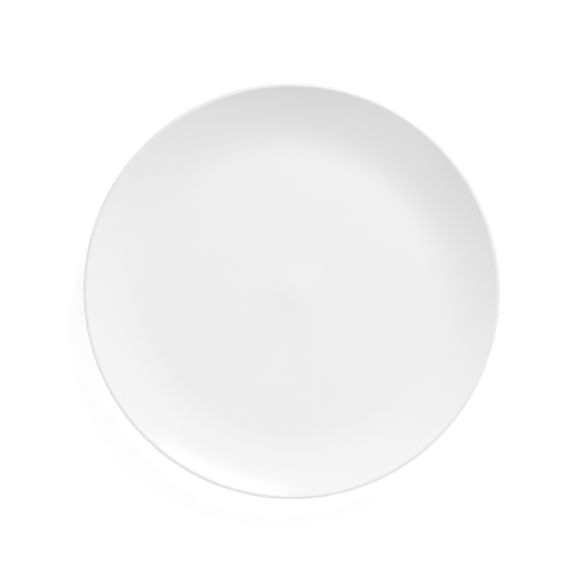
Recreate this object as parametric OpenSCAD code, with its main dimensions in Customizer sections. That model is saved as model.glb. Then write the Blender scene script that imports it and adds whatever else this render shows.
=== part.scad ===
// Round coupe serving platter: one fired clay body under two coats of glaze.
// Z is the axis of the platter, and its standing edge lies in the plane z = 0.

/* [Platter] */
// Diameter across the glazed lip
platter_d = 330; // [300:1:380]
// Thickness of the clay under the well
floor_t = 5.2; // [4:0.1:8]
// Thickness of the clay in the upper wall, up to the lip that rounds it off
lip_t = 4; // [3.4:0.1:6]

/* [Well] */
// Diameter of the level well, where the wall starts to rise
well_d = 219; // [190:1:230]
// Diameter of the low crown in the middle of the well
crown_d = 84; // [60:1:150]
// Diameter of the rounded tip of the crown
crown_tip_d = 15; // [10:1:50]
// Height of the crown above the level well
crown_h = 1.5; // [0.3:0.1:2.5]

/* [Wall] */
// Radius of the cove that turns the well up into the wall
cove_r = 82; // [60:1:130]
// Slope at which the cove runs into the upper wall, in degrees
cove_slope = 22; // [14:0.5:25]
// Radius of the flatter sweep of the upper wall
wall_r = 150; // [130:1:450]

/* [Foot ring] */
// How far the foot ring's root stays in from where the underside starts to rise
foot_inset = 1; // [0:0.5:30]
// Height of the foot ring below the underside of the well
foot_h = 3.2; // [3:0.1:8]
// Width of the flat standing edge
foot_land_w = 2.4; // [1.5:0.1:6]
// Lean of the sides of the foot ring from upright, in degrees
foot_draft = 15; // [10:1:30]
// Radius of the corners beside the standing edge
foot_edge_r = 0.8; // [0.4:0.05:1]
// Radius of the fillets at the root of the foot ring
foot_fillet_r = 2.2; // [1:0.1:2.4]

/* [Glaze] */
// Thickness of the fired glaze
glaze_t = 0.3; // [0.15:0.05:0.6]

/* [Hidden] */
clay_color = "linen";
glaze_color = "white";

// Most that an outline turns, in degrees, and runs, in mm, between two of its points
step_turn = 6;
step_run = 2.5;
// Points closer together than this are one point
same_point = 0.01;
// Sides of a full turn
turn_sides = 180;

// Heights of the clay above the standing edge
under_z = foot_h;
well_z = under_z + floor_t;

// Distances from the axis, and the radius that rounds off the lip
lip_r = lip_t / 2;
lip_x = platter_d / 2 - glaze_t - lip_r;
well_x = well_d / 2;
crown_x = crown_d / 2;
crown_tip_x = crown_tip_d / 2;

// The crown is an S of two arcs that meet where it is steepest
crown_slope = 2 * atan(crown_h / crown_x);
crown_tip_r = crown_tip_x / sin(crown_slope);
crown_flare_r = (crown_x - crown_tip_x) / sin(crown_slope);

// On the face, cove, upper wall and lip run into each other without a crease
cove_c = [well_x, well_z + cove_r];
wall_c = cove_c + (cove_r - wall_r) * downhill(cove_slope);
lip_slope = asin((lip_x - wall_c.x) / (wall_r + lip_r));
lip_c = wall_c + (wall_r + lip_r) * downhill(lip_slope);

// The underside runs along the upper wall, and its own cove takes up the thicker floor
under_bend = wall_c + (wall_r + lip_t) * downhill(cove_slope);
under_cove_r = (under_bend.y - under_z) / (1 - cos(cove_slope));
under_cove_c = under_bend - under_cove_r * downhill(cove_slope);

// Foot ring: both sides lean alike, from a round corner below to a root fillet above
foot_reach = foot_edge_r + foot_fillet_r;
foot_side_h = under_z - foot_reach + foot_reach * sin(foot_draft);
foot_half_root = foot_land_w / 2 + foot_reach * cos(foot_draft) + foot_side_h * tan(foot_draft);
foot_x = under_cove_c.x - foot_inset - foot_half_root;
fillet_z = under_z - foot_fillet_r;

// Unit vector at an angle from the X axis
function direction(angle) = [cos(angle), sin(angle)];

// Unit vector square to a slope, outwards and down
function downhill(slope) = direction(slope - 90);

// Points along an arc from one angle to another, both ends included. A parallel arc that lies
// off to one side of it has as many points, so that a coat between the two is even.
function arc(centre, radius, start, end, off = 0) =
    let (
        turn = abs(end - start),
        run = radius * turn * PI / 180,
        steps = max(ceil(turn / step_turn), ceil(run / step_run))
    )
    [for (i = [0:steps]) centre + (radius + off) * direction((start * (steps - i) + end * i) / steps)];

// One outline from arcs in order, in which an arc that starts where the last one ended
// leaves out that point
function chained(arcs) = [
    for (i = [0:len(arcs) - 1])
        let (touches = i > 0 && norm(arcs[i][0] - arcs[i - 1][len(arcs[i - 1]) - 1]) < same_point)
        for (j = [touches ? 1 : 0:len(arcs[i]) - 1])
            arcs[i][j]
];

function reversed(points) = [for (i = [len(points) - 1:-1:0]) points[i]];

// Arcs of the crown above a level, from its edge to the axis, moved up off the clay
function crown_arcs(level_z, off) = [
    arc([crown_x, level_z + crown_flare_r], crown_flare_r, -90, -90 - crown_slope, -off),
    arc([0, level_z + crown_h - crown_tip_r], crown_tip_r, 90 - crown_slope, 90, off)
];

// Outside of the platter, off the clay by a distance: from the root of the foot ring along the
// underside, round the lip and over the face to the axis. The lip is two arcs, so that it has a
// point where it is widest.
function outer_skin(off) = chained(concat(
    [
        arc([foot_x + foot_half_root, fillet_z], foot_fillet_r, 180 - foot_draft, 90, -off),
        arc(under_cove_c, under_cove_r, -90, cove_slope - 90, off),
        arc(wall_c, wall_r + lip_t, cove_slope - 90, lip_slope - 90, off),
        arc(lip_c, lip_r, lip_slope - 90, 0, off),
        arc(lip_c, lip_r, 0, lip_slope + 90, off),
        arc(wall_c, wall_r, lip_slope - 90, cove_slope - 90, -off),
        arc(cove_c, cove_r, cove_slope - 90, -90, -off)
    ],
    crown_arcs(well_z, off)
));

// Recess inside the foot ring, off the clay by a distance: from the root to the axis
function base_skin(off) = chained(concat(
    [arc([foot_x - foot_half_root, fillet_z], foot_fillet_r, foot_draft, 90, -off)],
    crown_arcs(under_z, -off)
));

// Standing edge of the foot ring and its corners, from the inner side to the outer side
function standing_edge() = chained([
    arc([foot_x - foot_land_w / 2, foot_edge_r], foot_edge_r, foot_draft - 180, -90),
    arc([foot_x + foot_land_w / 2, foot_edge_r], foot_edge_r, -90, -foot_draft)
]);

// Solid of revolution of an outline about the axis
module turned(outline) {
    rotate_extrude($fn = turn_sides)
        polygon(outline);
}

// Even coat on a skin of the clay, from its root to the axis
module coat(bare, glazed) {
    turned(concat(bare, reversed(glazed)));
}

// Pressed clay body, with the foot ring that is part of it
module clay_body() {
    color(clay_color)
        turned(concat(reversed(base_skin(0)), standing_edge(), outer_skin(0)));
}

// Glaze over the underside, the lip and the face
module outer_glaze() {
    color(glaze_color)
        coat(outer_skin(0), outer_skin(glaze_t));
}

// Glaze in the recess inside the foot ring
module base_glaze() {
    color(glaze_color)
        coat(base_skin(0), base_skin(glaze_t));
}

clay_body();
outer_glaze();
base_glaze();
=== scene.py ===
"""Dress the round serving platter and set it in a plain studio.

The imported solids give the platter's outer sizes. Its clay body and the two coats of glaze are turned
afresh from one cross-section, with enough points for a smooth gloss, and take the solids' places.
Lengths are in metres and angles in degrees. The platter's axis is Z, and it stands on the plane z = 0.
"""

from __future__ import annotations

import logging
import math
from dataclasses import dataclass, field, replace
from enum import Enum
from functools import cached_property
from typing import Any

import bpy
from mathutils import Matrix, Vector


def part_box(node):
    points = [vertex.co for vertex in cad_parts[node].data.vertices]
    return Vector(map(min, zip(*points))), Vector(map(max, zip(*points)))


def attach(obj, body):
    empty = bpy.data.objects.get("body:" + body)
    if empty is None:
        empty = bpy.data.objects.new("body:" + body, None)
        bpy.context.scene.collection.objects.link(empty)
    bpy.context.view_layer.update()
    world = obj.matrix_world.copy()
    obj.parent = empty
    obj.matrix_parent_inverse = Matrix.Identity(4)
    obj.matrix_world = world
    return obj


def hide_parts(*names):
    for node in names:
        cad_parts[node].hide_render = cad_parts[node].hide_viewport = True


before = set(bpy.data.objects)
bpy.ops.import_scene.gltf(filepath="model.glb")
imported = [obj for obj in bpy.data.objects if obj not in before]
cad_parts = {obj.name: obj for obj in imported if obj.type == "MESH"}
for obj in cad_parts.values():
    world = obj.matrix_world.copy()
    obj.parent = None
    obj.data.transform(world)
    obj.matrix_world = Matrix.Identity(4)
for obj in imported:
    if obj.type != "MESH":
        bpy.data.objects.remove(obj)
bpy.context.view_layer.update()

LOG = logging.getLogger("serving_platter")
BODY = "root"

Colour = tuple[float, float, float]


class Solid(Enum):
    """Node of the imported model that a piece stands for."""

    CLAY_BODY = "clay_body"
    OUTER_GLAZE = "outer_glaze"
    BASE_GLAZE = "base_glaze"


class Slot(Enum):
    """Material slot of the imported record."""

    BARE_CLAY = "bare_clay"
    WHITE_GLAZE = "white_glaze"


class Value:
    """Number on its way through a node tree. An expression on it adds Math nodes."""

    def __init__(self, sheet: NodeSheet, socket: bpy.types.NodeSocket) -> None:
        """Keep the socket that gives the number and the sheet that it lies on."""
        self.sheet = sheet
        self.socket = socket

    def __add__(self, other: Value | float) -> Value:
        """Add a value or a number."""
        return self.sheet.math("ADD", self, other)

    def __radd__(self, other: float) -> Value:
        """Add to a number."""
        return self.sheet.math("ADD", other, self)

    def __sub__(self, other: Value | float) -> Value:
        """Take a value or a number away."""
        return self.sheet.math("SUBTRACT", self, other)

    def __rsub__(self, other: float) -> Value:
        """Take away from a number."""
        return self.sheet.math("SUBTRACT", other, self)

    def __mul__(self, other: Value | float) -> Value:
        """Multiply by a value or a number."""
        return self.sheet.math("MULTIPLY", self, other)

    def __rmul__(self, other: float) -> Value:
        """Multiply a number."""
        return self.sheet.math("MULTIPLY", other, self)

    def __pow__(self, other: Value | float) -> Value:
        """Raise to a power."""
        return self.sheet.math("POWER", self, other)

    def greater_of(self, other: Value | float) -> Value:
        """Take the greater of two values."""
        return self.sheet.math("MAXIMUM", self, other)

    def ramp(self, low: float, high: float) -> Value:
        """Rise smoothly from 0 to 1.

        Args:
            low: Value up to which the ramp is 0.
            high: Value from which the ramp is 1.

        Returns:
            The ramp.
        """
        node = self.sheet.node(
            "ShaderNodeMapRange",
            {"interpolation_type": "SMOOTHSTEP"},
            {"Value": self, "From Min": low, "From Max": high},
        )
        return Value(self.sheet, node.outputs["Result"])


class NodeSheet:
    """Node tree that one method fills, for materials, the world and geometry alike."""

    # Places of the colour sockets of a Mix node, whose names repeat for other kinds of data
    MIX_FIRST = 6
    MIX_SECOND = 7
    MIX_RESULT = 2

    NOISE_MEAN = 0.5

    def __init__(self, tree: bpy.types.NodeTree) -> None:
        """Start with an empty tree."""
        self.tree = tree
        tree.nodes.clear()

    def node(
        self,
        kind: str,
        settings: dict[str, Any] | None = None,
        sockets: dict[str | int, Any] | None = None,
    ) -> bpy.types.Node:
        """Add a node.

        Args:
            kind: Blender's name for the type of node.
            settings: Attributes of the node, which are set first.
            sockets: Number, colour or link for an input, by its name or its place.

        Returns:
            The node.
        """
        node = self.tree.nodes.new(kind)
        for name, setting in (settings or {}).items():
            setattr(node, name, setting)
        for key, given in (sockets or {}).items():
            self.feed(node.inputs[key], given)
        return node

    def feed(self, entry: bpy.types.NodeSocket, given: Any) -> None:
        """Link an input to a value or a socket, or set it to a constant.

        Args:
            entry: Input of a node.
            given: Value, socket or constant.
        """
        if isinstance(given, Value):
            given = given.socket
        if isinstance(given, bpy.types.NodeSocket):
            self.tree.links.new(given, entry)
        else:
            entry.default_value = given

    def math(self, operation: str, *terms: Value | float) -> Value:
        """Add a Math node for an operation on one or two terms."""
        sockets = dict(enumerate(terms))
        return Value(self, self.node("ShaderNodeMath", {"operation": operation}, sockets).outputs[0])

    def whole_math(self, operation: str, *terms: bpy.types.NodeSocket | int) -> bpy.types.NodeSocket:
        """Add an Integer Math node for an operation on two whole numbers."""
        sockets = dict(enumerate(terms))
        return self.node("FunctionNodeIntegerMath", {"operation": operation}, sockets).outputs[0]

    def blend(self, factor: Value, first: Any, second: Any) -> bpy.types.NodeSocket:
        """Mix two colours.

        Args:
            factor: Share of the second colour.
            first: Colour, or the socket of one.
            second: Colour, or the socket of one.

        Returns:
            The socket of the mixed colour.
        """
        sockets = {0: factor, self.MIX_FIRST: opaque(first), self.MIX_SECOND: opaque(second)}
        return self.node("ShaderNodeMix", {"data_type": "RGBA"}, sockets).outputs[self.MIX_RESULT]

    def noise(self, point: bpy.types.NodeSocket, grain: float, detail: float = 2.0) -> Value:
        """Add a noise in space.

        Args:
            point: Where the noise is read.
            grain: Size of one cloud of the noise.
            detail: Number of finer layers.

        Returns:
            The noise, from 0 to 1.
        """
        sockets = {"Vector": point, "Scale": 1 / grain, "Detail": detail}
        return Value(self, self.node("ShaderNodeTexNoise", None, sockets).outputs["Fac"])

    def bump(self, height: Value) -> bpy.types.NodeSocket:
        """Normal of a surface that has a height, in metres, of its own."""
        return self.node("ShaderNodeBump", None, {"Distance": 1.0, "Height": height}).outputs[0]

    def reach(self, point: bpy.types.NodeSocket) -> Value:
        """Measure how far a point is from the Z axis.

        Args:
            point: Socket of the point.

        Returns:
            The distance.
        """
        place = self.node("ShaderNodeSeparateXYZ", None, {0: point}).outputs
        east = Value(self, place["X"])
        north = Value(self, place["Y"])
        return (east * east + north * north) ** 0.5


def new_material(name: str) -> tuple[bpy.types.Material, NodeSheet]:
    """Make a material without nodes.

    Args:
        name: Name of the material.

    Returns:
        The material and its sheet.
    """
    material = bpy.data.materials.new(name)
    material.use_nodes = True
    return material, NodeSheet(material.node_tree)


def opaque(colour: Any) -> Any:
    """Give a plain colour its alpha, and leave a socket as it is."""
    return (*colour, 1.0) if isinstance(colour, tuple) else colour


def direction(angle: float) -> Vector:
    """Unit vector at an angle from the outward direction."""
    return Vector((math.cos(math.radians(angle)), math.sin(math.radians(angle))))


def downhill(slope: float) -> Vector:
    """Unit vector square to a slope, outwards and down."""
    return direction(slope - 90)


@dataclass(frozen=True)
class Arc:
    """Round stretch of the cross-section.

    Attributes:
        centre: Distance from the axis and height of the centre.
        radius: Radius of the clay.
        start: Angle at which the stretch starts.
        end: Angle at which it ends.
        hollow: Whether the clay lies outside the circle.
        step_turn: Most that the outline turns between two points.
        step_run: Most that it runs between two points.
    """

    centre: Vector
    radius: float
    start: float
    end: float
    hollow: bool = False
    step_turn: float = 4.0
    step_run: float = 0.0016

    def at(self, angle: float, off: float) -> Vector:
        """Point at an angle, off the clay by a distance."""
        return self.centre + (self.radius + (-off if self.hollow else off)) * direction(angle)

    def points(self, off: float) -> list[Vector]:
        """Give the points from the start to the end.

        Args:
            off: Distance of the points off the clay.

        Returns:
            The points, both ends included.
        """
        turn = abs(self.end - self.start)
        run = self.radius * math.radians(turn)
        steps = math.ceil(max(turn / self.step_turn, run / self.step_run))
        angles = (self.start + (self.end - self.start) * i / steps for i in range(steps + 1))
        return [self.at(angle, off) for angle in angles]


@dataclass(frozen=True)
class CrossSection:
    """Cross-section of the platter, from which its clay and its glaze are turned.

    Attributes:
        rim_radius: Radius of the platter over the glaze.
        glaze: Thickness of the fired glaze.
        floor: Thickness of the clay under the well.
        wall: Thickness of the clay in the upper wall, up to the lip that rounds it off.
        well_radius: Radius of the level well, where the wall starts to rise.
        crown_radius: Radius of the low crown in the middle of the well.
        crown_tip_radius: Radius out to which the crown's rounded tip reaches.
        crown_height: Height of the crown above the level well.
        cove_radius: Radius of the cove that turns the well up into the wall.
        cove_slope: Slope at which the cove runs into the upper wall.
        sweep_radius: Radius of the flatter sweep of the upper wall.
        foot_inset: How far the foot ring's root stays in from where the underside rises.
        foot_height: Height of the foot ring below the underside of the well.
        land_width: Width of the flat standing edge.
        foot_draft: Lean of the foot ring's sides from upright.
        foot_edge_radius: Radius of the corners beside the standing edge.
        foot_fillet_radius: Radius of the fillets at the root of the foot ring.
        same_point: Points closer together than this are one point.
        bead_steps: Number of points that round off the edge of a coat.
    """

    rim_radius: float
    glaze: float
    floor: float = 0.0052
    wall: float = 0.004
    well_radius: float = 0.1095
    crown_radius: float = 0.042
    crown_tip_radius: float = 0.0075
    crown_height: float = 0.0015
    cove_radius: float = 0.082
    cove_slope: float = 22.0
    sweep_radius: float = 0.15
    foot_inset: float = 0.001
    foot_height: float = 0.0032
    land_width: float = 0.0024
    foot_draft: float = 15.0
    foot_edge_radius: float = 0.0008
    foot_fillet_radius: float = 0.0022
    same_point: float = 1e-6
    bead_steps: int = 8

    @classmethod
    def of_frame(cls) -> CrossSection:
        """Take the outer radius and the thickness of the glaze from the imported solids."""
        rim_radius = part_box(Solid.OUTER_GLAZE.value)[1].x
        return cls(rim_radius, rim_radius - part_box(Solid.CLAY_BODY.value)[1].x)

    @property
    def well_level(self) -> float:
        """Height of the clay of the level well."""
        return self.foot_height + self.floor

    @property
    def lip_radius(self) -> float:
        """Radius that rounds off the clay at the lip."""
        return self.wall / 2

    @cached_property
    def crown_slope(self) -> float:
        """Slope of the crown where its two arcs meet."""
        return 2 * math.degrees(math.atan(self.crown_height / self.crown_radius))

    @cached_property
    def cove_centre(self) -> Vector:
        """Centre of the cove on the face."""
        return Vector((self.well_radius, self.well_level + self.cove_radius))

    @cached_property
    def sweep_centre(self) -> Vector:
        """Centre of the upper wall's sweep, which runs out of the cove without a crease."""
        return self.cove_centre + (self.cove_radius - self.sweep_radius) * downhill(self.cove_slope)

    @cached_property
    def lip_slope(self) -> float:
        """Slope of the wall where the lip starts to round it off."""
        reach = self.rim_radius - self.glaze - self.lip_radius - self.sweep_centre.x
        return math.degrees(math.asin(reach / (self.sweep_radius + self.lip_radius)))

    @cached_property
    def lip_centre(self) -> Vector:
        """Centre of the lip's round."""
        return self.sweep_centre + (self.sweep_radius + self.lip_radius) * downhill(self.lip_slope)

    @cached_property
    def under_cove_radius(self) -> float:
        """Radius of the cove on the underside, which takes up the thicker floor."""
        bend = self.sweep_centre + (self.sweep_radius + self.wall) * downhill(self.cove_slope)
        return (bend.y - self.foot_height) / (1 - math.cos(math.radians(self.cove_slope)))

    @cached_property
    def under_cove_centre(self) -> Vector:
        """Centre of the cove on the underside."""
        reach = self.sweep_radius + self.wall - self.under_cove_radius
        return self.sweep_centre + reach * downhill(self.cove_slope)

    @cached_property
    def foot_half_root(self) -> float:
        """Distance from the middle of the foot ring to the centres of its root fillets.

        Returns:
            The distance, which follows from the lean and the rounds of the ring's sides.
        """
        lean = math.radians(self.foot_draft)
        reach = self.foot_edge_radius + self.foot_fillet_radius
        side_height = self.foot_height - reach + reach * math.sin(lean)
        return self.land_width / 2 + reach * math.cos(lean) + side_height * math.tan(lean)

    @cached_property
    def foot_radius(self) -> float:
        """Distance from the axis to the middle of the foot ring."""
        return self.under_cove_centre.x - self.foot_inset - self.foot_half_root

    def root_fillet(self, side: int) -> Arc:
        """Make a fillet at the root of the foot ring.

        Args:
            side: 1 for the outer side of the ring, -1 for the inner side.

        Returns:
            The fillet, from the side of the ring up to the underside.
        """
        centre = Vector(
            (self.foot_radius + side * self.foot_half_root, self.foot_height - self.foot_fillet_radius)
        )
        start = 180 - self.foot_draft if side > 0 else self.foot_draft
        return Arc(centre, self.foot_fillet_radius, start, 90, hollow=True)

    def crown(self, level: float, covered: bool) -> list[Arc]:
        """Arcs of the crown, from its edge to the axis.

        Args:
            level: Height of the clay round the crown.
            covered: Whether the clay lies below the crown, as on the face, or above it.

        Returns:
            The two arcs.
        """
        reach = math.sin(math.radians(self.crown_slope))
        flare_radius = (self.crown_radius - self.crown_tip_radius) / reach
        tip_radius = self.crown_tip_radius / reach
        flare_centre = Vector((self.crown_radius, level + flare_radius))
        tip_centre = Vector((0, level + self.crown_height - tip_radius))
        return [
            Arc(flare_centre, flare_radius, -90, -90 - self.crown_slope, hollow=covered),
            Arc(tip_centre, tip_radius, 90 - self.crown_slope, 90, hollow=not covered),
        ]

    def outside(self) -> list[Arc]:
        """Make the outside of the platter.

        Returns:
            The arcs from the outer root of the foot ring round the lip and over the face to the axis.
        """
        level = self.cove_slope - 90
        steep = self.lip_slope - 90
        return [
            self.root_fillet(1),
            Arc(self.under_cove_centre, self.under_cove_radius, -90, level),
            Arc(self.sweep_centre, self.sweep_radius + self.wall, level, steep),
            Arc(self.lip_centre, self.lip_radius, steep, 0),
            Arc(self.lip_centre, self.lip_radius, 0, steep + 180),
            Arc(self.sweep_centre, self.sweep_radius, steep, level, hollow=True),
            Arc(self.cove_centre, self.cove_radius, level, -90, hollow=True),
            *self.crown(self.well_level, covered=True),
        ]

    def recess(self) -> list[Arc]:
        """Arcs from the inner root of the foot ring over the recess to the axis."""
        return [self.root_fillet(-1), *self.crown(self.foot_height, covered=False)]

    def standing_edge(self) -> list[Arc]:
        """Make the corners of the standing edge.

        Returns:
            The arcs, from the inner side to the outer side.
        """
        inner = Vector((self.foot_radius - self.land_width / 2, self.foot_edge_radius))
        outer = Vector((self.foot_radius + self.land_width / 2, self.foot_edge_radius))
        return [
            Arc(inner, self.foot_edge_radius, self.foot_draft - 180, -90),
            Arc(outer, self.foot_edge_radius, -90, -self.foot_draft),
        ]

    def chained(self, arcs: list[Arc], off: float = 0.0) -> list[Vector]:
        """Give the points along arcs.

        Args:
            arcs: Arcs in order.
            off: Distance of the points off the clay.

        Returns:
            The points, without those that only repeat the last.
        """
        points: list[Vector] = []
        for point in (point for arc in arcs for point in arc.points(off)):
            if not points or (point - points[-1]).length > self.same_point:
                points.append(point)
        return points

    def clay_outline(self) -> list[Vector]:
        """Outline of the clay body, from the axis under the floor to the axis on the face."""
        recess = self.chained(self.recess())
        return [*reversed(recess), *self.chained(self.standing_edge()), *self.chained(self.outside())]

    def coat_outline(self, arcs: list[Arc]) -> list[Vector]:
        """Outline of a coat: in along the clay from the axis, and back along its own surface.

        Args:
            arcs: Arcs that the coat covers, from the root of the foot ring to the axis.

        Returns:
            The points, with the coat's edge at the root drawn together to a round bead.
        """
        root = arcs[0]
        draw = math.copysign(math.degrees(self.glaze / root.radius), root.end - root.start)
        quarter = [90 * i / self.bead_steps for i in range(1, self.bead_steps)]
        bead = [
            root.at(root.start + draw * (1 - direction(angle).x), self.glaze * direction(angle).y)
            for angle in quarter
        ]
        covered = self.chained(arcs)
        surface = self.chained([replace(root, start=root.start + draw), *arcs[1:]], self.glaze)
        return [*reversed(covered), *bead, *surface]


@dataclass(frozen=True)
class Wheel:
    """Geometry Nodes tree that turns an outline about the axis, as on a potter's wheel.

    Attributes:
        turn_steps: Number of steps in a full turn.
        weld: Distance at which the seam and the points on the axis are joined.
        crease: Angle from which an edge stays sharp, in radians.
    """

    turn_steps: int = 256
    weld: float = 2e-6
    crease: float = math.radians(40)

    OUTLINE = "Outline"
    STEPS = "Turn steps"
    WELD = "Weld distance"
    CREASE = "Crease angle"
    FINISH = "Finish"

    @cached_property
    def tree(self) -> bpy.types.NodeTree:
        """Build the tree once, with a named input for each of its sizes.

        Returns:
            The tree.
        """
        tree = bpy.data.node_groups.new("turned_on_the_wheel", "GeometryNodeTree")
        for name, kind in (
            (self.OUTLINE, "NodeSocketGeometry"),
            (self.STEPS, "NodeSocketInt"),
            (self.WELD, "NodeSocketFloat"),
            (self.CREASE, "NodeSocketFloat"),
            (self.FINISH, "NodeSocketMaterial"),
        ):
            tree.interface.new_socket(name=name, in_out="INPUT", socket_type=kind)
        tree.interface.new_socket(name="Turned", in_out="OUTPUT", socket_type="NodeSocketGeometry")

        sheet = NodeSheet(tree)
        given = sheet.node("NodeGroupInput").outputs
        turned = self.turned_grid(sheet, given)
        welded = sheet.node(
            "GeometryNodeMergeByDistance", None, {"Geometry": turned, "Distance": given[self.WELD]}
        )
        smooth = sheet.node("GeometryNodeSetShadeSmooth", None, {"Geometry": welded.outputs[0]})
        angle = Value(sheet, sheet.node("GeometryNodeInputMeshEdgeAngle").outputs["Unsigned Angle"])
        creased = sheet.node(
            "GeometryNodeSetShadeSmooth",
            {"domain": "EDGE"},
            {
                "Geometry": smooth.outputs[0],
                "Selection": sheet.math("GREATER_THAN", angle, Value(sheet, given[self.CREASE])),
                "Shade Smooth": False,
            },
        )
        real = sheet.node("GeometryNodeRealizeInstances", None, {"Geometry": creased.outputs[0]})
        dressed = sheet.node(
            "GeometryNodeSetMaterial",
            None,
            {"Geometry": real.outputs[0], "Material": given[self.FINISH]},
        )
        sheet.node("NodeGroupOutput", None, {0: dressed.outputs[0]})
        return tree

    def turned_grid(self, sheet: NodeSheet, given: Any) -> bpy.types.NodeSocket:
        """Bend a grid round the axis, one row for each point of the outline.

        Args:
            sheet: Sheet of the tree.
            given: Outputs of the tree's inputs.

        Returns:
            The socket of the bent grid, whose seam and poles are still open.
        """
        outline = given[self.OUTLINE]
        row_length = sheet.whole_math("ADD", given[self.STEPS], 1)
        count = sheet.node("GeometryNodeAttributeDomainSize", None, {"Geometry": outline})
        grid = sheet.node(
            "GeometryNodeMeshGrid",
            None,
            {"Vertices X": count.outputs["Point Count"], "Vertices Y": row_length},
        )
        index = sheet.node("GeometryNodeInputIndex").outputs[0]
        row = sheet.whole_math("DIVIDE_FLOOR", index, row_length)
        column = Value(sheet, sheet.whole_math("MODULO", index, row_length))
        here = sheet.node("GeometryNodeInputPosition").outputs[0]
        point = sheet.node(
            "GeometryNodeSampleIndex",
            {"data_type": "FLOAT_VECTOR"},
            {"Geometry": outline, "Value": here, "Index": row},
        )
        place = sheet.node("ShaderNodeSeparateXYZ", None, {0: point.outputs[0]}).outputs
        reach = Value(sheet, place["X"])
        angle = sheet.math("DIVIDE", column * math.tau, Value(sheet, given[self.STEPS]))
        position = sheet.node(
            "ShaderNodeCombineXYZ",
            None,
            {
                "X": reach * sheet.math("COSINE", angle),
                "Y": reach * sheet.math("SINE", angle),
                "Z": place["Z"],
            },
        )
        bent = sheet.node(
            "GeometryNodeSetPosition",
            None,
            {"Geometry": grid.outputs["Mesh"], "Position": position.outputs[0]},
        )
        return bent.outputs[0]

    @staticmethod
    def facing_out(outline: list[Vector]) -> list[Vector]:
        """Run an outline the way round that makes the turned faces point outwards."""
        area = sum(here.cross(there) for here, there in zip(outline, outline[1:]))
        return outline[::-1] if area > 0 else outline

    def turn(
        self, name: str, outline: list[Vector], finish: bpy.types.Material
    ) -> bpy.types.Object:
        """Turn an outline into a closed mesh.

        Args:
            name: Name of the piece.
            outline: Distances from the axis and heights, from the axis to the axis.
            finish: Material of the piece.

        Returns:
            The piece, as a plain mesh.
        """
        line = bpy.data.meshes.new(f"{name}_outline")
        points = [(point.x, 0.0, point.y) for point in self.facing_out(outline)]
        line.from_pydata(points, [(i, i + 1) for i in range(len(points) - 1)], [])
        maker = bpy.data.objects.new(f"{name}_outline", line)
        bpy.context.scene.collection.objects.link(maker)

        modifier = maker.modifiers.new("turned", "NODES")
        modifier.node_group = self.tree
        sizes = {
            self.STEPS: self.turn_steps,
            self.WELD: self.weld,
            self.CREASE: self.crease,
            self.FINISH: finish,
        }
        for entry in self.tree.interface.items_tree:
            if entry.name in sizes:
                modifier[entry.identifier] = sizes[entry.name]

        depsgraph = bpy.context.evaluated_depsgraph_get()
        mesh = bpy.data.meshes.new_from_object(maker.evaluated_get(depsgraph), depsgraph=depsgraph)
        mesh.name = name
        bpy.data.objects.remove(maker)
        bpy.data.meshes.remove(line)
        piece = bpy.data.objects.new(name, mesh)
        bpy.context.scene.collection.objects.link(piece)
        return piece


@dataclass(frozen=True)
class WhiteGlaze:
    """White glaze with a soft gloss: faintly clouded, greyed over the lip, partly by thinner glaze and
    partly by painted shade, and not quite flat.

    Attributes:
        rim_radius: Radius of the platter, where the grey of the lip is strongest.
        colour: Colour of the full coat.
        cloud_colour: Colour of its fainter clouds.
        thin_glaze_and_shade_colour: Grey at the lip, partly where the glaze is thin and the clay shows
            through, partly painted shade that darkens the lit lip.
        cloud_size: Size of the clouds.
        fleck_size: Size of the fine unevenness of the colour.
        cloud_weight: How much the clouds count, where the flecks make up the rest.
        cloud_range: Values of the two together between which the colour changes.
        thin_glaze_and_shade_width: Width of the band at the rim over which the colour turns to that
            grey.
        thin_glaze_and_shade_share: How much of that grey shows at the rim.
        roughness: Mean roughness.
        smear: How much the roughness varies.
        smear_size: Size of its variations.
        wave_size: Length of the slow waves in the surface.
        wave_depth: Height of those waves.
        peel_size: Length of the fine ripple, like the peel of an orange.
        peel_depth: Height of that ripple.
        specular: Strength of the surface's reflection, where 0.5 is glass.
    """

    rim_radius: float
    colour: Colour = (0.870, 0.870, 0.870)
    cloud_colour: Colour = (0.865, 0.865, 0.865)
    thin_glaze_and_shade_colour: Colour = (0.70, 0.70, 0.70)
    cloud_size: float = 0.03
    fleck_size: float = 0.0025
    cloud_weight: float = 0.7
    cloud_range: tuple[float, float] = (0.15, 0.85)
    thin_glaze_and_shade_width: float = 0.0036
    thin_glaze_and_shade_share: float = 0.72
    roughness: float = 0.16
    smear: float = 0.04
    smear_size: float = 0.022
    wave_size: float = 0.045
    wave_depth: float = 1.6e-5
    peel_size: float = 0.004
    peel_depth: float = 2.5e-6
    specular: float = 0.5

    def material(self) -> bpy.types.Material:
        """Build the material.

        Returns:
            The material.
        """
        material, sheet = new_material("white_glaze_finish")
        point = sheet.node("ShaderNodeTexCoord").outputs["Object"]

        clouds = sheet.noise(point, self.cloud_size) * self.cloud_weight
        flecks = sheet.noise(point, self.fleck_size) * (1 - self.cloud_weight)
        coat = sheet.blend((clouds + flecks).ramp(*self.cloud_range), self.colour, self.cloud_colour)
        # Grey band at the rim: partly thinner glaze, partly painted shade that darkens the lit lip.
        rim = sheet.reach(point).ramp(self.rim_radius - self.thin_glaze_and_shade_width, self.rim_radius)
        shade = sheet.blend(rim * self.thin_glaze_and_shade_share, coat, self.thin_glaze_and_shade_colour)

        smears = sheet.noise(point, self.smear_size, detail=4.0) - sheet.NOISE_MEAN
        waves = sheet.noise(point, self.wave_size, detail=1.0) * self.wave_depth
        peel = sheet.noise(point, self.peel_size, detail=1.0) * self.peel_depth
        gloss = sheet.node(
            "ShaderNodeBsdfPrincipled",
            None,
            {
                "Base Color": shade,
                "Roughness": smears * self.smear + self.roughness,
                "Specular IOR Level": self.specular,
                "Normal": sheet.bump(waves + peel),
            },
        )
        sheet.node("ShaderNodeOutputMaterial", None, {"Surface": gloss.outputs[0]})
        return material


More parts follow.
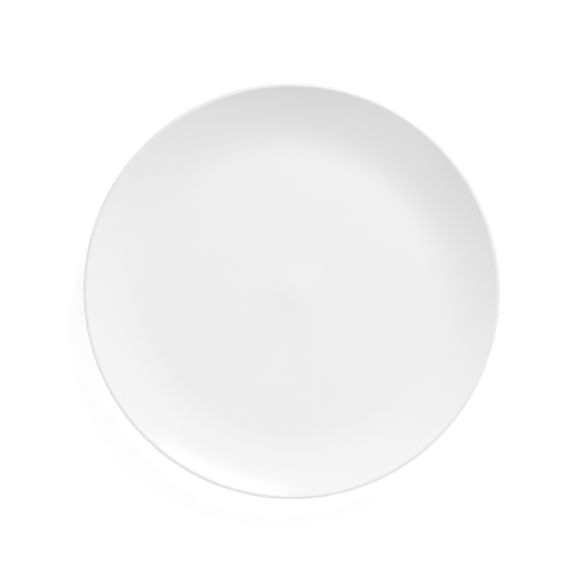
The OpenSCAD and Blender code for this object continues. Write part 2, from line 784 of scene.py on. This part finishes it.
@dataclass(frozen=True)
class BareClay:
    """Fired clay without glaze: dry, with a fine grain, and rubbed grey where it stands.

    Attributes:
        colour: Colour of the fired clay.
        grain_colour: Colour of its darker grains.
        rub_colour: Colour of the rubbed standing edge.
        grain_size: Size of the grains.
        grain_range: Values of the grain between which the colour changes.
        grain_depth: Height of the grains.
        patch_size: Size of the rubbed patches.
        patch_range: Values of the patches between which the rubbing sets in.
        rub_height: Height up to which the clay is rubbed.
        rub_share: How much of the rubbed colour shows.
        roughness: Roughness of the dry clay.
        rubbed_roughness: How much smoother the rubbed edge is.
    """

    colour: Colour = (0.77, 0.75, 0.71)
    grain_colour: Colour = (0.70, 0.67, 0.62)
    rub_colour: Colour = (0.60, 0.59, 0.57)
    grain_size: float = 0.0004
    grain_range: tuple[float, float] = (0.42, 0.7)
    grain_depth: float = 4e-5
    patch_size: float = 0.009
    patch_range: tuple[float, float] = (0.35, 0.75)
    rub_height: float = 0.0005
    rub_share: float = 0.6
    roughness: float = 0.88
    rubbed_roughness: float = 0.2

    def material(self) -> bpy.types.Material:
        """Build the material.

        Returns:
            The material.
        """
        material, sheet = new_material("bare_clay_finish")
        point = sheet.node("ShaderNodeTexCoord").outputs["Object"]
        height = Value(sheet, sheet.node("ShaderNodeSeparateXYZ", None, {0: point}).outputs["Z"])

        grains = sheet.noise(point, self.grain_size, detail=3.0)
        patches = sheet.noise(point, self.patch_size, detail=3.0)
        clay = sheet.blend(grains.ramp(*self.grain_range), self.colour, self.grain_colour)
        rubbed = (1 - height.ramp(0.0, self.rub_height)) * patches.ramp(*self.patch_range)
        shade = sheet.blend(rubbed * self.rub_share, clay, self.rub_colour)

        dry = sheet.node(
            "ShaderNodeBsdfPrincipled",
            None,
            {
                "Base Color": shade,
                "Roughness": self.roughness - rubbed * self.rubbed_roughness,
                "Normal": sheet.bump(grains * self.grain_depth),
            },
        )
        sheet.node("ShaderNodeOutputMaterial", None, {"Surface": dry.outputs[0]})
        return material


@dataclass(frozen=True)
class TurnedPiece:
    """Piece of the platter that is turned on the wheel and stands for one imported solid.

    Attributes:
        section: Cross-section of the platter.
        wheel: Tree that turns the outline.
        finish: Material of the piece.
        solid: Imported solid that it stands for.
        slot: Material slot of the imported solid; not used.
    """

    section: CrossSection
    wheel: Wheel
    finish: bpy.types.Material
    solid: Solid = field(init=False)
    slot: Slot = field(init=False)

    def outline(self) -> list[Vector]:
        """Outline of the piece, from the axis to the axis."""
        raise NotImplementedError

    def build(self) -> bpy.types.Object:
        """Turn the piece, dress it and put it in the place of its solid.

        Returns:
            The piece.
        """
        piece = self.wheel.turn(f"turned_{self.solid.value}", self.outline(), self.finish)
        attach(piece, BODY)
        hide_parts(self.solid.value)
        return piece


@dataclass(frozen=True)
class ClayBody(TurnedPiece):
    """Pressed clay body, with the foot ring that is part of it."""

    solid: Solid = Solid.CLAY_BODY
    slot: Slot = Slot.BARE_CLAY

    def outline(self) -> list[Vector]:
        """Outline of the clay."""
        return self.section.clay_outline()


@dataclass(frozen=True)
class OuterGlaze(TurnedPiece):
    """Glaze over the underside, the lip and the face."""

    solid: Solid = Solid.OUTER_GLAZE
    slot: Slot = Slot.WHITE_GLAZE

    def outline(self) -> list[Vector]:
        """Outline of the coat."""
        return self.section.coat_outline(self.section.outside())


@dataclass(frozen=True)
class BaseGlaze(TurnedPiece):
    """Glaze in the recess inside the foot ring."""

    solid: Solid = Solid.BASE_GLAZE
    slot: Slot = Slot.WHITE_GLAZE

    def outline(self) -> list[Vector]:
        """Outline of the coat."""
        return self.section.coat_outline(self.section.recess())


@dataclass(frozen=True)
class Softbox:
    """Soft light that faces the platter.

    Attributes:
        name: Name of the light.
        bearing: Direction of the light, from +X towards +Y.
        share: Share of white that it gives on the level well, where nothing is in its way.
        tilt: Angle of the light off the platter's axis.
        distance: Distance from the middle of the platter.
        width: Length of its level sides.
        height: Length of its other sides.
        mirrored: Whether it shows in the gloss.
    """

    name: str
    bearing: float
    share: float
    tilt: float
    distance: float = 2.0
    width: float = 0.9
    height: float = 0.9
    mirrored: bool = False

    def build(self) -> bpy.types.Object:
        """Hang the light.

        Returns:
            The light.
        """
        tilt = math.radians(self.tilt)
        bearing = direction(self.bearing) * math.sin(tilt)
        towards = Vector((bearing.x, bearing.y, math.cos(tilt)))
        lamp = bpy.data.lights.new(self.name, "AREA")
        lamp.shape = "RECTANGLE"
        lamp.size = self.width
        lamp.size_y = self.height
        lamp.energy = self.share * math.pi**2 * self.distance**2 / math.cos(tilt)
        box = bpy.data.objects.new(self.name, lamp)
        box.location = towards * self.distance
        box.rotation_euler = towards.to_track_quat("Z", "Y").to_euler()
        box.visible_camera = False
        box.visible_glossy = self.mirrored
        bpy.context.scene.collection.objects.link(box)
        return box


@dataclass(frozen=True)
class LowCard(Softbox):
    """Pale strip beside the platter, too low to light its face, that lightens the side of the lip."""

    tilt: float = 87.5
    distance: float = 0.27
    width: float = 0.5
    height: float = 0.02


@dataclass(frozen=True)
class Studio:
    """Plain studio: white surroundings, a pale floor, soft lights and a camera above the face.

    Attributes:
        surround_share: Share of white that the surroundings give on the level well.
        floor_side: Length of the floor's sides.
        floor_colour: Colour of the floor.
        floor_glow: White that the floor shows without any light on it.
        floor_answer: White that the lights add to it where nothing shades it.
        floor_near: Distance from the platter's axis out to which the floor answers to the lights.
        floor_far: Distance from which it is plain white.
        lights: Soft lights.
    """

    surround_share: float = 0.275
    floor_side: float = 40.0
    floor_colour: Colour = (0.86, 0.86, 0.86)
    floor_glow: float = 0.63
    floor_answer: float = 0.45
    floor_near: float = 0.3
    floor_far: float = 0.7
    lights: tuple[Softbox, ...] = (
        Softbox("key_softbox", bearing=62.0, share=0.352, tilt=62.0),
        Softbox("left_fill", bearing=240.0, share=0.218, tilt=45.0),
        Softbox("right_fill", bearing=300.0, share=0.078, tilt=45.0),
        Softbox("left_edge_light", bearing=165.0, share=0.041, tilt=78.0),
        Softbox("right_edge_light", bearing=330.0, share=0.015, tilt=78.0),
        Softbox(
            "catch_light",
            bearing=69.0,
            share=0.041,
            tilt=48.0,
            distance=3.0,
            width=1.6,
            height=0.47,
            mirrored=True,
        ),
        LowCard("right_card", bearing=316.0, share=0.009),
        LowCard("bottom_card", bearing=256.0, share=0.007),
        LowCard("left_card", bearing=190.0, share=0.006),
    )

    def build(self) -> None:
        """Set the colours of the picture, the surroundings, the floor and the lights."""
        bpy.context.scene.view_settings.view_transform = "Standard"
        self.surroundings()
        self.floor()
        for light in self.lights:
            light.build()

    @staticmethod
    def seen(sheet: NodeSheet) -> Value:
        """Pick out the rays that show a thing, straight, in a gloss or through glass.

        Args:
            sheet: Sheet of the tree that needs the mask.

        Returns:
            The mask, 1 for those rays and 0 for the rays that only light other things.
        """
        path = sheet.node("ShaderNodeLightPath").outputs
        camera = Value(sheet, path["Is Camera Ray"])
        gloss = Value(sheet, path["Is Glossy Ray"])
        glass = Value(sheet, path["Is Transmission Ray"])
        return camera.greater_of(gloss).greater_of(glass)

    def surroundings(self) -> None:
        """Make the surroundings white to look at, and an even light on the platter."""
        world = bpy.data.worlds.new("white_surroundings")
        world.use_nodes = True
        bpy.context.scene.world = world
        sheet = NodeSheet(world.node_tree)
        strength = self.seen(sheet) * (1 - self.surround_share) + self.surround_share
        white = opaque((1.0, 1.0, 1.0))
        glow = sheet.node("ShaderNodeBackground", None, {"Color": white, "Strength": strength})
        sheet.node("ShaderNodeOutputWorld", None, {"Surface": glow.outputs[0]})

    def floor(self) -> None:
        """Lay the floor, which looks white and keeps the platter's shadow."""
        material, sheet = new_material("pale_floor")
        answer = (self.floor_answer,) * 3
        lit = sheet.node("ShaderNodeBsdfDiffuse", None, {"Color": opaque(answer)})
        glow = sheet.node("ShaderNodeEmission", None, {"Strength": self.floor_glow})
        near = sheet.node("ShaderNodeAddShader", None, {0: lit.outputs[0], 1: glow.outputs[0]})
        white = sheet.node("ShaderNodeEmission", None, {"Strength": 1.0})
        point = sheet.node("ShaderNodeTexCoord").outputs["Object"]
        away = sheet.reach(point).ramp(self.floor_near, self.floor_far)
        shown = sheet.node(
            "ShaderNodeMixShader", None, {0: away, 1: near.outputs[0], 2: white.outputs[0]}
        )
        plain = sheet.node("ShaderNodeBsdfDiffuse", None, {"Color": opaque(self.floor_colour)})
        surface = sheet.node(
            "ShaderNodeMixShader",
            None,
            {0: self.seen(sheet), 1: plain.outputs[0], 2: shown.outputs[0]},
        )
        sheet.node("ShaderNodeOutputMaterial", None, {"Surface": surface.outputs[0]})

        half = self.floor_side / 2
        mesh = bpy.data.meshes.new("floor")
        corners = [(-half, -half, 0), (half, -half, 0), (half, half, 0), (-half, half, 0)]
        mesh.from_pydata(corners, [], [(0, 1, 2, 3)])
        mesh.materials.append(material)
        floor = bpy.data.objects.new("floor", mesh)
        bpy.context.scene.collection.objects.link(floor)


@dataclass(frozen=True)
class OverheadCamera:
    """Camera on the platter's axis, which frames the platter as the photograph does.

    Attributes:
        section: Cross-section of the platter.
        lens: Focal length, in mm.
        sensor: Width of the sensor, in mm.
        picture: Width of the square picture, in pixels.
        platter_width: Width of the platter in it, in pixels.
        platter_centre: Middle of the platter in it, from its upper left corner, in pixels.
    """

    section: CrossSection
    lens: float = 100.0
    sensor: float = 36.0
    picture: float = 576.0
    platter_width: float = 416.9
    platter_centre: tuple[float, float] = (291.65, 291.32)

    def build(self) -> bpy.types.Object:
        """Set up the camera.

        Returns:
            The camera.
        """
        lens = bpy.data.cameras.new("overhead_camera")
        lens.lens = self.lens
        lens.sensor_width = self.sensor
        camera = bpy.data.objects.new("overhead_camera", lens)
        pixel = 2 * self.section.rim_radius / self.platter_width
        distance = pixel * self.picture * self.lens / self.sensor
        camera.location = (
            (self.picture / 2 - self.platter_centre[0]) * pixel,
            (self.platter_centre[1] - self.picture / 2) * pixel,
            self.section.lip_centre.y + distance,
        )
        bpy.context.scene.collection.objects.link(camera)
        bpy.context.scene.camera = camera
        return camera


def main() -> None:
    """Build the platter's pieces and the studio round them."""
    logging.basicConfig(level=logging.INFO, format="%(name)s: %(message)s")
    section = CrossSection.of_frame()
    wheel = Wheel()
    glaze = WhiteGlaze(section.rim_radius).material()
    for turned in (
        ClayBody(section, wheel, BareClay().material()),
        OuterGlaze(section, wheel, glaze),
        BaseGlaze(section, wheel, glaze),
    ):
        piece = turned.build()
        LOG.info("%s: %d faces for %s", piece.name, len(piece.data.polygons), turned.solid.value)
    Studio().build()
    OverheadCamera(section).build()


if __name__ == "__main__":
    main()
